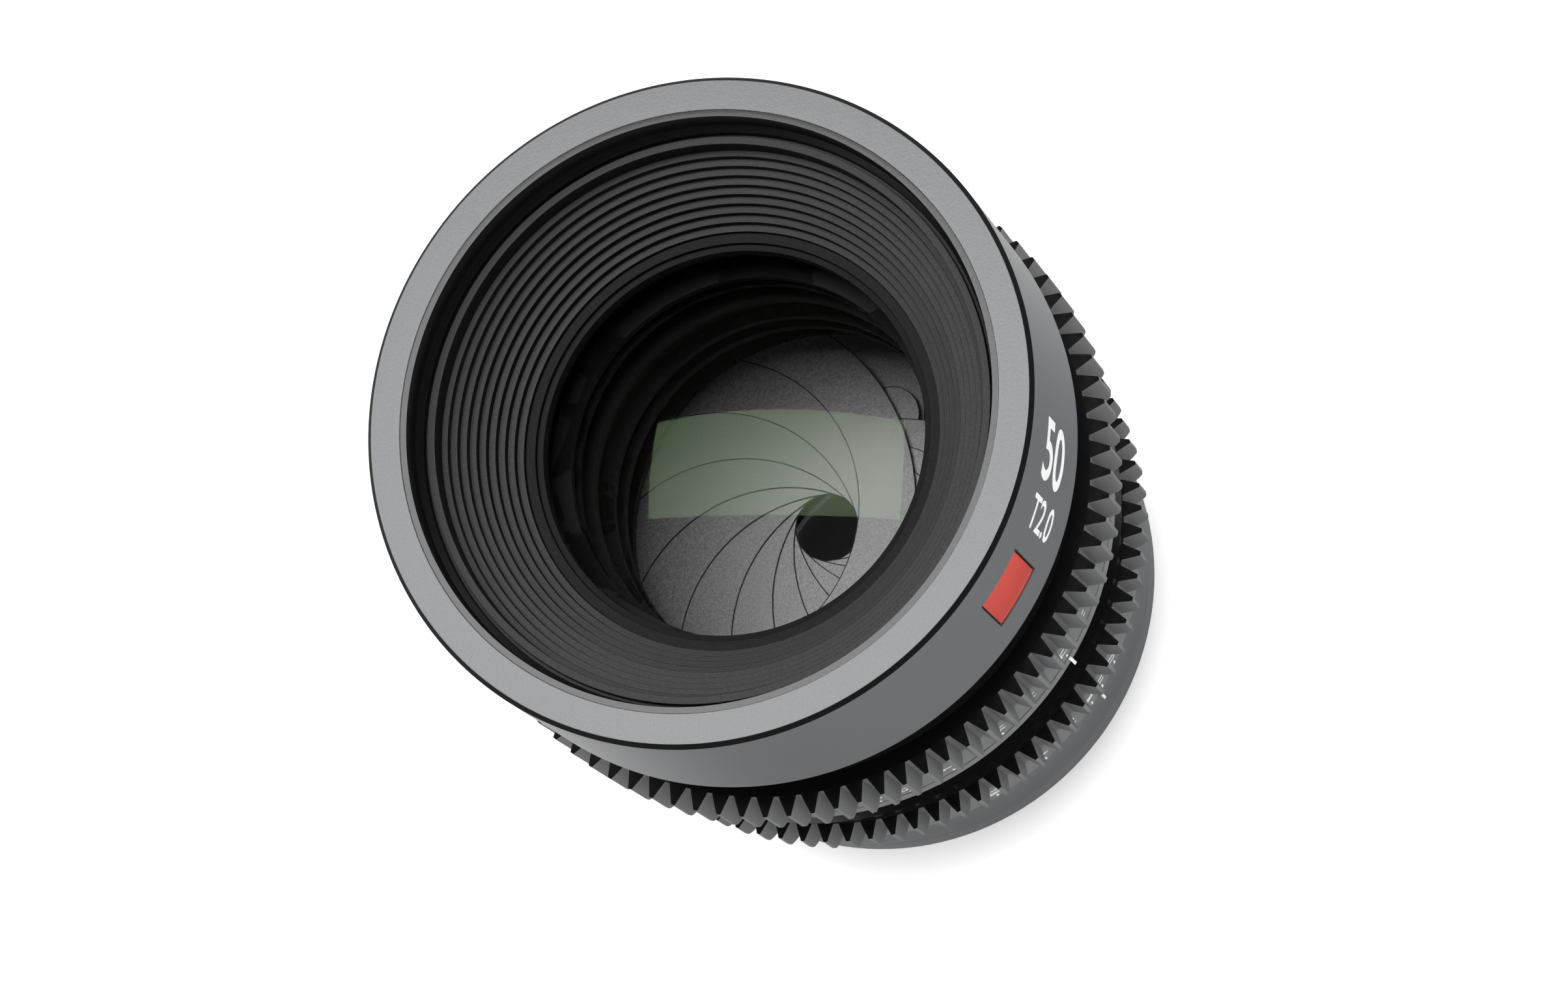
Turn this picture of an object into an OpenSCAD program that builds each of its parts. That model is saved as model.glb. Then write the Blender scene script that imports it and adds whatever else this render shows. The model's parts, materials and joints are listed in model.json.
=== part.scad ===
// Cinema prime lens with geared focus and iris rings, standing on its rear bayonet.
// Z runs along the optical axis towards the front glass and Z = 0 is the flange plane.
// The index marks and the badge face -Y. All sizes are millimetres.

/* [Overall] */
// Flange plane to the front face
flange_to_front = 82; // [81:0.5:92]
// Rest setting of the iris: radius of the hole
rest_hole_r = 3.58; // [2:0.1:12]

/* [Front barrel] */
// Outer radius of the front barrel
barrel_r = 34.85; // [34.2:0.05:36]
// Front face to the rear edge of the front barrel
barrel_l = 21; // [20:0.1:23]
// Bevel of the barrel at the face
face_bevel = 0.46; // [0.2:0.02:0.8]
// Bevel of the barrel at its rear edge
rear_bevel = 0.7; // [0.3:0.05:1]
// Radius over the crests of the filter thread
filter_r = 30.6; // [30:0.05:31]
// Wall of the filter ring
filter_wall = 0.7; // [0.4:0.05:1]
// Depth of the filter thread below the face
filter_depth = 3.7; // [3:0.1:5]
// Slope at the foot of the filter thread
filter_foot = 0.6; // [0.55:0.05:0.8]
// Face to the front of the filter ring
filter_inset = 0.15; // [0.05:0.05:0.5]

/* [Neck] */
// Rear edge of the front barrel to the focus gear
neck_l = 9.7; // [8:0.1:11]
// Radius of the neck ring at its collar
neck_collar_r = 33.4; // [32.6:0.1:34]
// Length of the collar
neck_collar_l = 5; // [3:0.1:6.5]
// Radius of the neck behind the collar
neck_r = 32.3; // [31.9:0.1:32.6]

/* [Badge] */
// Length of the badge along the barrel
badge_l = 8.3; // [5:0.1:10]
// Width of the badge round the barrel
badge_w = 6.3; // [4:0.1:8]
// Thickness of the badge
badge_t = 0.8; // [0.5:0.1:1.2]
// Face to the middle of the badge
badge_depth = 10.7; // [8:0.1:13]
// Badge surface below the barrel
badge_sink = 0.1; // [0.05:0.05:0.3]
// Gap round the badge in its pocket
badge_gap = 0.25; // [0.1:0.05:0.5]

/* [Stepped baffle] */
// Number of anti-reflection steps
step_count = 9; // [6:1:10]
// Inner radius of the last step
last_step_r = 22.19; // [22:0.01:22.6]
// Step height along the axis
step_down = 0.855; // [0.7:0.005:1]
// Inner radius of the first step
first_step_r = 28.15; // [27.5:0.05:28.4]
// Ledge down to the first step
first_drop = 2.2; // [1.5:0.1:3]
// Inner radius of the front ledge
ledge_r = 28.8; // [28.5:0.05:29.2]
// Width of the front ledge
ledge_w = 0.8; // [0.4:0.05:1.2]
// Depth of the shadow groove outside the ledge
ledge_groove = 0.9; // [0.4:0.1:1.5]
// Floor below the last step
baffle_floor = 0.35; // [0.2:0.05:1]

/* [Gear rings] */
// Module of both follow gears
gear_module = 0.8; // [0.79:0.005:0.82]
// Teeth on the focus ring
focus_teeth = 88; // [88:1:96]
// Teeth on the iris ring
iris_teeth = 83; // [83:1:90]
// Depth of the teeth
tooth_depth = 2.06; // [1.7:0.02:2.1]
// Pressure angle of the teeth
pressure_angle = 20; // [14.5:0.5:23]
// Thinning of the teeth for backlash
tooth_backlash = 0.25; // [0:0.01:0.3]
// Backward lean of the front faces of the teeth, from root to tip
tooth_lean = 0.4; // [0.1:0.05:0.6]
// Length of the bow that each tooth falls in behind its tip
tooth_bow_l = 1.1; // [0.8:0.05:1.6]
// Length of the tooth tips on the focus ring
focus_tip_l = 6; // [5:0.1:7]
// Length of the scale behind the focus teeth
focus_scale_l = 7.8; // [7:0.1:9]
// Fall of the focus scale towards the rear
focus_scale_fall = 1; // [0.2:0.05:1.1]
// Turn of the focus teeth against the drive pin
focus_tooth_turn = 0.6; // [0:0.1:4]
// Length of the tooth tips on the iris ring
iris_tip_l = 3.8; // [3:0.1:6]
// Length of the scale behind the iris teeth
iris_scale_l = 6.2; // [5.5:0.1:8]
// Fall of the iris scale towards the rear
iris_scale_fall = 0.4; // [0.1:0.05:0.8]

/* [Index section] */
// Gap between the focus scale and the fixed section behind it
index_gap = 0.25; // [0.1:0.05:0.4]
// Length of the fixed section between the rings
index_l = 10.35; // [9.5:0.05:13]
// Radius of the index ring beside the focus ring
index_r = 33.2; // [32.8:0.1:33.5]
// Length of that band
index_band_l = 4.15; // [3:0.05:6]
// Length of the bevel in front of the band
index_bevel_l = 0.55; // [0.2:0.05:1]
// Rise of that bevel
index_bevel_rise = 0.3; // [0.1:0.05:0.5]
// Radius of the index ring beside the iris ring
index_waist_r = 32.1; // [31.9:0.05:32.6]
// Thickness of the shoulder that the index ring sits on
index_shoulder_t = 1; // [0.6:0.1:2]

/* [Rear barrel and mount] */
// Radius of the rear barrel
rear_r = 31.5; // [31.2:0.05:32.4]
// Length of the straight rear barrel
rear_straight_l = 3.2; // [2:0.1:4]
// Radius where the rear barrel meets the mount
rear_foot_r = 30.7; // [30.3:0.1:31.2]
// Thickness of the bayonet flange
flange_t = 1.6; // [1.2:0.1:2]
// Radius of the bayonet flange
flange_r = 28.6; // [28:0.1:29.5]
// Thickness of the mount base
base_t = 2.9; // [2.4:0.1:3.6]
// Radius of the bayonet spigot
spigot_out_r = 21.7; // [21.2:0.05:22]
// Wall of the bayonet spigot
spigot_wall = 1.5; // [1.2:0.1:2]
// Length of the spigot below the flange
spigot_l = 4.6; // [4:0.1:6]
// Radius over the bayonet lugs
lug_r = 23; // [22.6:0.05:23.2]
// Thickness of the bayonet lugs
lug_t = 1.8; // [1.4:0.1:2]
// Angle that each lug covers
lug_angle = 50; // [40:1:60]
// Radius of the mount screw circle
mount_screw_pcr = 25.9; // [25.6:0.05:26.2]

/* [Iris] */
// Hole radius with the iris wide open
open_r = 17.5; // [16:0.1:18]
// Hole radius at the smallest stop
closed_hole_r = 1.6; // [1.2:0.1:2]
// Width of a blade
blade_w = 6.5; // [5.5:0.1:6.6]
// Thickness of a blade
blade_t = 0.1; // [0.06:0.01:0.12]
// Rise from one blade to the next
blade_pitch = 0.14; // [0.13:0.01:0.2]
// Arc of a blade from its pivot to the middle of its tip
blade_arc = 118; // [105:1:122]
// Radius of the pivot circle
pivot_r = 26.5; // [26.2:0.1:26.8]
// Radius of the pivot pins
pivot_pin_r = 0.6; // [0.4:0.05:0.7]
// Radius of the follower pins
follower_pin_r = 0.42; // [0.3:0.02:0.5]
// Radius of the follower pins from the axis when wide open
follower_r = 24.8; // [24.6:0.05:25]
// Angle from the pivot to the follower when wide open
follower_angle = 12; // [10:0.5:13]
// Turn of the iris ring for each degree of blade turn
ring_per_blade = 1.5; // [1.3:0.05:1.7]
// Thickness of the cam ring and of the pivot plate
iris_plate_t = 1.2; // [1:0.1:1.6]

/* [Focus] */
// Half of the turn of the focus ring
focus_half_turn = 75; // [45:1:80]
// Half of the travel of the focus cell
focus_half_travel = 3; // [2:0.1:3.2]
// Length of the focus cell
focus_cell_l = 12; // [11:0.1:12.5]

/* [Tubes and fits] */
// Outer radius of the main barrel under the focus ring
tube_r = 31.45; // [31.3:0.05:31.6]
// Wall of the main barrel there
tube_wall = 1.55; // [1.4:0.05:1.65]
// Outer radius of the main barrel under the iris ring
iris_tube_r = 29.5; // [29.4:0.05:29.6]
// Wall of the main barrel there
iris_tube_wall = 1.5; // [1.3:0.05:1.6]
// Wall of the helicoid sleeve
helicoid_wall = 2.45; // [2.2:0.05:2.6]
// Radial clearance of turning and sliding fits
running_gap = 0.05; // [0.02:0.01:0.1]
// Radial clearance of screwed and seated fits
seat_gap = 0.02; // [0.01:0.01:0.05]
// Clearance at the ends of moving rings
end_gap = 0.1; // [0.05:0.01:0.2]

/* [Glass] */
// Radius of the front glass
front_glass_r = 21.6; // [21.2:0.05:21.8]
// Clear radius of the front retaining ring
front_clear_r = 20.4; // [19.8:0.05:20.8]
// Curvature radius of the front surface
front_curve_r = 58; // [50:1:90]
// Radius of the second glass
second_glass_r = 20.2; // [19.8:0.05:20.6]
// Radius of the glasses in the focus cell
focus_glass_r = 21; // [20.4:0.05:21.6]
// Radius of the glasses in the rear cell
rear_glass_r = 18.4; // [17.8:0.05:18.8]
// Overlap of a glass and its seat or retaining ring
glass_lip = 1.6; // [1.2:0.05:1.8]

/* [Hidden] */
$fn = 96;
pin_facets = 32;
glass_facets = 360;
cut = 1;
eps = 0.01;
blade_count = 14;

// Colours
anodised = "#6f7277";
black = "#18181a";
gear_grey = "#3c3d40";
baffle_grey = "#3a3a3c";
glass = "#9fb8b0";
brass = "#b08d4a";
steel = "#b9bbbd";
blade_grey = "#8e908f";
red = "#d2382c";

// Stations along the axis, from the front face to the rear
front_z = flange_to_front;
ledge_z = front_z - filter_depth;
first_step_z = ledge_z - first_drop;
baffle_base_z = first_step_z - (step_count - 1) * step_down - baffle_floor;
barrel_rear_z = front_z - barrel_l;
focus_front_z = barrel_rear_z - neck_l;
tooth_run = tooth_lean + tooth_bow_l;
focus_rear_z = focus_front_z - tooth_run - focus_tip_l - focus_scale_l;
index_front_z = focus_rear_z - index_gap;
index_rear_z = index_front_z - index_l;
iris_front_z = index_rear_z - end_gap;
iris_rear_z = iris_front_z - tooth_run - iris_tip_l - iris_scale_l;
rear_front_z = iris_rear_z - end_gap;
base_top_z = flange_t + base_t;

// Radii of nested tubes and fits
spigot_step = 0.3;
tube_front_r = tube_r - spigot_step;
barrel_bore_r = tube_front_r + seat_gap;
filter_seat_r = filter_r + filter_wall;
filter_foot_r = filter_r - filter_foot;
filter_foot_lip = 0.1;
ring_bore_r = tube_r + running_gap;
iris_ring_bore_r = iris_tube_r + running_gap;
sleeve_bore_r = tube_r - tube_wall;
skirt_bore_r = iris_tube_r - iris_tube_wall;
cam_step = 0.7;
cam_bore_r = sleeve_bore_r - cam_step;
helicoid_r = sleeve_bore_r - running_gap;
helicoid_bore_r = helicoid_r - helicoid_wall;
focus_cell_r = helicoid_bore_r - running_gap;
step_in = (first_step_r - last_step_r) / (step_count - 1);
scale_drop = 0.06;

// Front group
cell_flange_t = 1;
tube_end_z = baffle_base_z - cell_flange_t;
front_seat_drop = 6.9;
front_seat_z = baffle_base_z - front_seat_drop;
seat_web = 1;
second_l = 1.8;
second_hollow = 0.6;
second_curve_r = 230;
second_ring_t = 0.8;
second_seat_z = front_seat_z - seat_web;
front_cell_rear_z = second_seat_z - second_l - second_ring_t;
glass_gap = 0.05;
front_sag = front_curve_r - sqrt(pow(front_curve_r, 2) - pow(front_clear_r, 2));
front_ring_top_drop = 0.1;
front_ring_step = 0.57;
front_ring_land = 0.7;
front_ring_l = 2.3;
front_ring_rear_z = baffle_base_z - front_ring_l;
front_apex_z = front_ring_rear_z - glass_gap + front_sag;
front_ring_r = last_step_r - seat_gap;

// Iris unit, from the cam ring at the rear to its retainer at the front
cam_floor_drop = 2.75;
cam_floor_z = index_rear_z + cam_floor_drop;
cam_lift = 0.05;
cam_z = cam_floor_z + cam_lift;
cam_top_z = cam_z + iris_plate_t;
blade_clear = 0.3;
blade_base_z = cam_top_z + blade_clear;
blade_top_z = blade_base_z + (blade_count - 1) * blade_pitch + blade_t;
plate_z = blade_top_z + blade_clear;
plate_top_z = plate_z + iris_plate_t;
retainer_t = 1.5;
retainer_top_z = plate_top_z + retainer_t;
plate_web = 4.9;
plate_open_r = pivot_r - plate_web;
cam_rim = 3;
cam_open_r = open_r + cam_rim;
cam_floor_t = 0.3;
cam_side_gap = 0.04;
follower_end_gap = 0.2;
pivot_end_gap = 0.2;
skirt_t = 1.55;
cam_skirt_r = skirt_bore_r - running_gap;
blade_outer_r = open_r + blade_w;
blade_tab_r = 0.75;
pivot_tab_r = 1.5;
tab_lap = 0.5;
wrap_azimuth = 36.7;

// Blade and ring angles, counted from wide open
function turn_for_hole(hole_r) = 2 * asin((open_r - hole_r) / (2 * pivot_r));
rest_turn = turn_for_hole(rest_hole_r);
closed_turn = turn_for_hole(closed_hole_r);
pivot_point = [pivot_r, 0];
follower_open = follower_r * [cos(follower_angle), sin(follower_angle)];

// Place of the follower pin once its blade has closed by this much
function follower_at(turn) =
    let (arm = follower_open - pivot_point)
    pivot_point + [arm.x * cos(turn) + arm.y * sin(turn), arm.y * cos(turn) - arm.x * sin(turn)];

// Focus drive and cell
focus_pin_r = 1;
focus_pin_inset = 6;
focus_pin_z = focus_rear_z + focus_pin_inset;
pin_blind = 1.5;
slot_gap = 0.15;
focus_front_clear = 1.4;
focus_cell_z = front_cell_rear_z - focus_front_clear - focus_half_travel - focus_cell_l;
key_w = 3;
key_t = 1.9;
key_inset = 0.5;
key_r = helicoid_bore_r - key_inset;
key_reach = 5.5;
key_end_gap = 1;
key_groove_l = key_reach + focus_half_travel + key_end_gap;
retainer_land = 0.6;
focus_ring_t = 1.3;
focus_web = 1;
focus_rear_l = 4;
focus_web_z = focus_cell_z + focus_rear_l;
focus_front_curve_r = 58;
focus_front_hollow = 2.4;
focus_rear_curve_r = 170;
focus_rear_hollow = 0.9;

// Iris drive
iris_pin_r = 0.9;
iris_pin_inset = 3.4;
iris_pin_z = iris_rear_z + iris_pin_inset;
skirt_end = 1.8;
cam_skirt_z = iris_pin_z - skirt_end;
ring_open = rest_turn * ring_per_blade;
ring_close = (closed_turn - rest_turn) * ring_per_blade;

// Rear group
web_gap = 0.3;
web_top_z = cam_skirt_z - web_gap;
web_t = 2.5;
web_z = web_top_z - web_t;
rear_lip_t = 2;
tube_rear_z = base_top_z + rear_lip_t;
rear_lip_w = 2.5;
rear_lip_r = iris_tube_r - rear_lip_w;
rear_lip_step = 0.5;
rear_bore_wall_r = rear_lip_r + rear_lip_step;
rear_cell_r = 22;
rear_cell_drop = 1.2;
rear_cell_front_z = cam_z - rear_cell_drop;
rear_flange_t = 1.5;
rear_flange_room = 2;
rear_flange_r = rear_bore_wall_r - rear_flange_room;
rear_flange_z = web_z - rear_flange_t;
rear_bore_r = rear_glass_r + glass_gap;
rear_clear_r = rear_glass_r - glass_lip;
rear_ring_t = 1.6;
rear_seat_rise = 3.6;
rear_seat_z = web_top_z + rear_seat_rise;
rear_web = 4;
rear_inner_curve_r = 58;
rear_inner_hollow = 1.6;
rear_outer_curve_r = 115;
rear_outer_hollow = 0.8;
cell_screw_count = 3;
cell_screw_edge = 1.7;
cell_screw_pcr = rear_flange_r - cell_screw_edge;
cell_screw_r = 0.8;
cell_head_r = 1.3;
cell_head_t = 1;
screw_end_gap = 0.2;
base_bore_gap = 0.3;
mount_screw_count = 4;
mount_screw_angle = 45;
mount_screw_r = 0.85;
mount_head_r = 1.5;
mount_head_t = 1;
mount_head_sink = 0.15;
face_relief = 0.3;
relief_gap = 0.6;
relief_r = lug_r + relief_gap;
lug_count = 3;
lug_rise = 0.2;
lug_root = 0.5;
lock_hole_r = 1.2;
lock_hole_depth = 1.2;
lock_hole_angle = 60;
rear_baffle_t = 1.5;
rear_baffle_rise = 0.3;
rear_baffle_w = 4.7;
rear_baffle_clear_r = spigot_out_r - spigot_wall - rear_baffle_w;
drive_azimuth = 90;

// A tube between two heights
module tube(r_out, r_in, z0, z1) {
    translate([0, 0, z0]) difference() {
        cylinder(r = r_out, h = z1 - z0);
        translate([0, 0, -cut]) cylinder(r = r_in, h = z1 - z0 + 2 * cut);
    }
}

// A body turned from a profile of radius and height
module turned(profile) {
    rotate_extrude() polygon(profile);
}

// A round hole or pin square to the axis, from one radius to another
module radial_pin(r, from_r, to_r, z, azimuth) {
    rotate([0, 0, azimuth]) translate([from_r, 0, z]) rotate([0, 90, 0])
        cylinder(r = r, h = to_r - from_r, $fn = pin_facets);
}

// A slot round part of a tube, for a radial pin that swings between two angles
module swing_slot(r_in, r_out, z, pin_r, from_angle, to_angle) {
    reach = asin((pin_r + slot_gap) / r_in);
    rotate([0, 0, from_angle - reach])
        rotate_extrude(angle = to_angle - from_angle + 2 * reach)
            translate([r_in - cut, z - pin_r - slot_gap])
                square([r_out - r_in + 2 * cut, 2 * (pin_r + slot_gap)]);
}

// A glass with a domed front, a flat rear and a ground edge
module domed_glass(r, rear_z, apex_z, curve_r) {
    intersection() {
        translate([0, 0, rear_z]) cylinder(r = r, h = apex_z - rear_z + cut);
        translate([0, 0, apex_z - curve_r]) sphere(r = curve_r, $fn = glass_facets);
    }
}

// A glass with a hollow rear and a flat front
module hollow_glass(r, rear_z, front_z, curve_r, hollow) {
    difference() {
        translate([0, 0, rear_z]) cylinder(r = r, h = front_z - rear_z);
        translate([0, 0, rear_z + hollow - curve_r]) sphere(r = curve_r, $fn = glass_facets);
    }
}

function from_polar(p) = p.x * [cos(p.y), sin(p.y)];

// The gap beside a tooth of a follow gear, with straight rack flanks that run out past the tips
function gap_outline(teeth) =
    let (
        tip_r = gear_module * (teeth + 2) / 2,
        pitch_r = gear_module * teeth / 2,
        root_r = tip_r - tooth_depth,
        half_pitch = PI * gear_module / 4 - tooth_backlash / 2,
        half_tip = half_pitch - (tip_r - pitch_r) * tan(pressure_angle),
        half_root = half_pitch + (pitch_r - root_r) * tan(pressure_angle),
        half_turn = 180 / teeth,
        root = from_polar([root_r, half_turn - asin(half_root / root_r)]),
        tip = from_polar([tip_r, half_turn - asin(half_tip / tip_r)]),
        outer = tip + (tip - root) / 2
    )
    [root, outer, [outer.x, -outer.y], [root.x, -root.y]];

// A geared ring: teeth that fall in a bow behind their tips, then a falling scale
module gear_ring(teeth, bore_r, front, tip_l, scale_l, scale_fall, turn = 0) {
    tip_r = gear_module * (teeth + 2) / 2;
    foot_r = tip_r - tooth_depth - scale_drop;
    bow_z = front - tooth_lean - tip_l;
    foot_z = bow_z - tooth_bow_l;
    bow_steps = 4;
    bow = [for (k = [0 : bow_steps])
        let (a = 90 * k / bow_steps)
        [foot_r + (tip_r - foot_r) * cos(a), bow_z - tooth_bow_l * sin(a)]];
    rear = foot_z - scale_l;
    difference() {
        turned(concat(
            [[bore_r, rear], [bore_r, front], [foot_r, front], [tip_r, front - tooth_lean]], bow,
            [[foot_r - scale_fall, rear]]));
        for (i = [0 : teeth - 1]) rotate([0, 0, turn + 360 * (i + 0.5) / teeth])
            translate([0, 0, foot_z - cut]) linear_extrude(front - foot_z + 2 * cut)
                polygon(gap_outline(teeth));
    }
}

module front_barrel() {
    color(anodised) difference() {
        turned([
            [filter_seat_r, front_z], [barrel_r - face_bevel, front_z], [barrel_r, front_z - face_bevel],
            [barrel_r, barrel_rear_z + rear_bevel], [barrel_r - rear_bevel, barrel_rear_z],
            [barrel_bore_r, barrel_rear_z], [barrel_bore_r, ledge_z], [filter_seat_r, ledge_z]]);
        badge_block(badge_w + 2 * badge_gap, badge_l + 2 * badge_gap,
            barrel_r - badge_sink - badge_t - seat_gap, barrel_r + cut);
    }
}

// A curved block on the -Y side of the front barrel
module badge_block(w, l, r_in, r_out) {
    intersection() {
        tube(r_out, r_in, front_z - badge_depth - l / 2, front_z - badge_depth + l / 2);
        translate([-w / 2, -r_out - cut, front_z - badge_depth - l]) cube([w, r_out, 2 * l]);
    }
}

module badge_plate() {
    color(red) badge_block(badge_w, badge_l, barrel_r - badge_sink - badge_t, barrel_r - badge_sink);
}

module filter_ring() {
    top = front_z - filter_inset;
    lip_z = ledge_z + filter_foot_lip;
    color(black) turned([
        [filter_seat_r - seat_gap, ledge_z], [filter_seat_r - seat_gap, top], [filter_r, top],
        [filter_r, lip_z + filter_foot], [filter_foot_r, lip_z], [filter_foot_r, ledge_z]]);
}

// Rim that the filter ring sits on, shadow groove, ledge and the flight of steps down to the glass
module stepped_baffle() {
    groove_r = ledge_r + ledge_w;
    steps = [for (k = [0 : step_count - 1]) each [
        [k == 0 ? ledge_r : first_step_r - (k - 1) * step_in, first_step_z - k * step_down],
        [first_step_r - k * step_in, first_step_z - k * step_down]]];
    color(baffle_grey) turned(concat(
        [[tube_front_r, baffle_base_z], [tube_front_r, ledge_z], [filter_foot_r, ledge_z],
         [filter_foot_r, ledge_z - ledge_groove], [groove_r, ledge_z - ledge_groove], [groove_r, ledge_z],
         [ledge_r, ledge_z]],
        steps, [[last_step_r, baffle_base_z]]));
}

module front_retaining_ring() {
    top = baffle_base_z - front_ring_top_drop;
    color(black) turned([
        [front_ring_r, front_ring_rear_z], [front_ring_r, top], [front_clear_r + front_ring_land, top],
        [front_clear_r + front_ring_land, top - front_ring_step], [front_clear_r, top - front_ring_step],
        [front_clear_r, front_ring_rear_z]]);
}

module front_element() {
    color(glass, 0.4) domed_glass(front_glass_r, front_seat_z, front_apex_z, front_curve_r);
}

module front_cell() {
    glass_bore_r = front_glass_r + glass_gap;
    second_bore_r = second_glass_r + glass_gap;
    clear_r = second_glass_r - glass_lip / 2;
    color(black) turned([
        [tube_front_r, tube_end_z], [tube_front_r, baffle_base_z], [last_step_r, baffle_base_z],
        [last_step_r, front_ring_rear_z], [glass_bore_r, front_ring_rear_z], [glass_bore_r, front_seat_z],
        [clear_r, front_seat_z], [clear_r, second_seat_z], [second_bore_r, second_seat_z],
        [second_bore_r, front_cell_rear_z], [sleeve_bore_r - seat_gap, front_cell_rear_z],
        [sleeve_bore_r - seat_gap, tube_end_z]]);
}

module second_element() {
    color(glass, 0.4)
        hollow_glass(second_glass_r, second_seat_z - second_l, second_seat_z, second_curve_r, second_hollow);
}

module second_retaining_ring() {
    color(black) tube(second_glass_r, second_glass_r - glass_lip / 2, front_cell_rear_z,
        front_cell_rear_z + second_ring_t);
}

// Fixed collar in front of the focus ring
module neck_ring() {
    neck_rear_z = focus_front_z + end_gap;
    collar_z = barrel_rear_z - neck_collar_l;
    collar_fall = 0.5;
    color(black) turned([
        [tube_r + seat_gap, barrel_rear_z], [neck_collar_r, barrel_rear_z],
        [neck_collar_r, collar_z + collar_fall], [neck_collar_r - collar_fall, collar_z], [neck_r, collar_z],
        [neck_r, neck_rear_z], [tube_r + seat_gap, neck_rear_z]]);
}

// The tube that everything else is fixed to or turns on
module main_barrel() {
    shoulder_z = index_rear_z + index_shoulder_t;
    color(black) difference() {
        turned([
            [tube_front_r, tube_end_z], [tube_front_r, barrel_rear_z], [tube_r, barrel_rear_z],
            [tube_r, shoulder_z], [index_waist_r, shoulder_z], [index_waist_r, index_rear_z],
            [iris_tube_r, index_rear_z], [iris_tube_r, tube_rear_z], [rear_bore_wall_r, tube_rear_z],
            [rear_bore_wall_r, web_z], [rear_cell_r + seat_gap, web_z], [rear_cell_r + seat_gap, web_top_z],
            [skirt_bore_r, web_top_z], [skirt_bore_r, cam_floor_z], [cam_bore_r, cam_floor_z],
            [cam_bore_r, plate_z], [sleeve_bore_r, plate_z], [sleeve_bore_r, tube_end_z]]);
        swing_slot(sleeve_bore_r, tube_r, focus_pin_z, focus_pin_r, drive_azimuth - focus_half_turn,
            drive_azimuth + focus_half_turn);
        swing_slot(skirt_bore_r, iris_tube_r, iris_pin_z, iris_pin_r, drive_azimuth - ring_close,
            drive_azimuth + ring_open);
        cell_screw_places() translate([0, 0, web_z - cut])
            cylinder(r = cell_screw_r + seat_gap, h = web_t + 2 * cut, $fn = pin_facets);
    }
}

module index_ring() {
    shoulder_z = index_rear_z + index_shoulder_t;
    band_z = index_front_z - index_band_l;
    ridge = 0.6;
    color(black) turned([
        [tube_r + seat_gap, index_front_z], [index_r - index_bevel_rise, index_front_z],
        [index_r, index_front_z - index_bevel_l], [index_r, band_z],
        [index_waist_r, band_z - ridge], [index_waist_r, shoulder_z], [tube_r + seat_gap, shoulder_z]]);
}

module focus_ring() {
    color(gear_grey) difference() {
        gear_ring(focus_teeth, ring_bore_r, focus_front_z, focus_tip_l, focus_scale_l, focus_scale_fall,
            focus_tooth_turn);
        radial_pin(focus_pin_r + seat_gap, tube_r, tube_r + pin_blind, focus_pin_z, drive_azimuth);
    }
}

module focus_drive_pin() {
    color(steel) radial_pin(focus_pin_r, helicoid_r - pin_blind + seat_gap, tube_r + pin_blind - seat_gap,
        focus_pin_z, drive_azimuth);
}

module helicoid_sleeve() {
    color(brass) difference() {
        tube(helicoid_r, helicoid_bore_r, retainer_top_z + end_gap, front_cell_rear_z - end_gap);
        radial_pin(focus_pin_r + seat_gap, helicoid_r - pin_blind, helicoid_r + cut, focus_pin_z,
            drive_azimuth);
    }
}

module focus_cell() {
    bore_r = focus_glass_r + glass_gap;
    clear_r = focus_glass_r - glass_lip;
    top = focus_cell_z + focus_cell_l;
    color(black) difference() {
        turned([
            [focus_cell_r, focus_cell_z], [focus_cell_r, top], [bore_r, top],
            [bore_r, focus_web_z + focus_web], [clear_r, focus_web_z + focus_web], [clear_r, focus_web_z],
            [bore_r, focus_web_z], [bore_r, focus_cell_z]]);
        rotate([0, 0, drive_azimuth])
            translate([key_r - key_t - slot_gap, -key_w / 2 - running_gap, focus_cell_z - cut])
                cube([key_t + slot_gap + key_inset + cut, key_w + 2 * running_gap, key_groove_l + cut]);
    }
}

module focus_front_element() {
    seat_z = focus_web_z + focus_web;
    ring_z = focus_cell_z + focus_cell_l - focus_ring_t;
    color(glass, 0.4) hollow_glass(focus_glass_r, seat_z, ring_z, focus_front_curve_r, focus_front_hollow);
}

module focus_rear_element() {
    color(glass, 0.4) hollow_glass(focus_glass_r, focus_cell_z + focus_ring_t, focus_web_z,
        focus_rear_curve_r, focus_rear_hollow);
}

module focus_front_ring() {
    top = focus_cell_z + focus_cell_l;
    color(black) tube(focus_glass_r, focus_glass_r - glass_lip, top - focus_ring_t, top);
}

module focus_rear_ring() {
    color(black) tube(focus_glass_r, focus_glass_r - glass_lip, focus_cell_z, focus_cell_z + focus_ring_t);
}

// Straight key that keeps the focus cell from turning
module guide_key() {
    color(steel) rotate([0, 0, drive_azimuth]) translate([key_r - key_t, -key_w / 2, retainer_top_z])
        cube([key_t, key_w, focus_cell_z + key_reach - retainer_top_z]);
}

module iris_retainer() {
    color(black) tube(sleeve_bore_r - seat_gap, key_r - key_t - retainer_land, plate_top_z, retainer_top_z);
}

module iris_pivot_plate() {
    color(black) difference() {
        tube(sleeve_bore_r - seat_gap, plate_open_r, plate_z, plate_top_z);
        for (i = [0 : blade_count - 1])
            rotate([0, 0, blade_azimuth(i)]) translate([pivot_r, 0, plate_z - cut])
                cylinder(r = pivot_pin_r + running_gap, h = iris_plate_t + 2 * cut, $fn = pin_facets);
    }
}

function blade_azimuth(i) = wrap_azimuth + 360 * i / blade_count;

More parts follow.
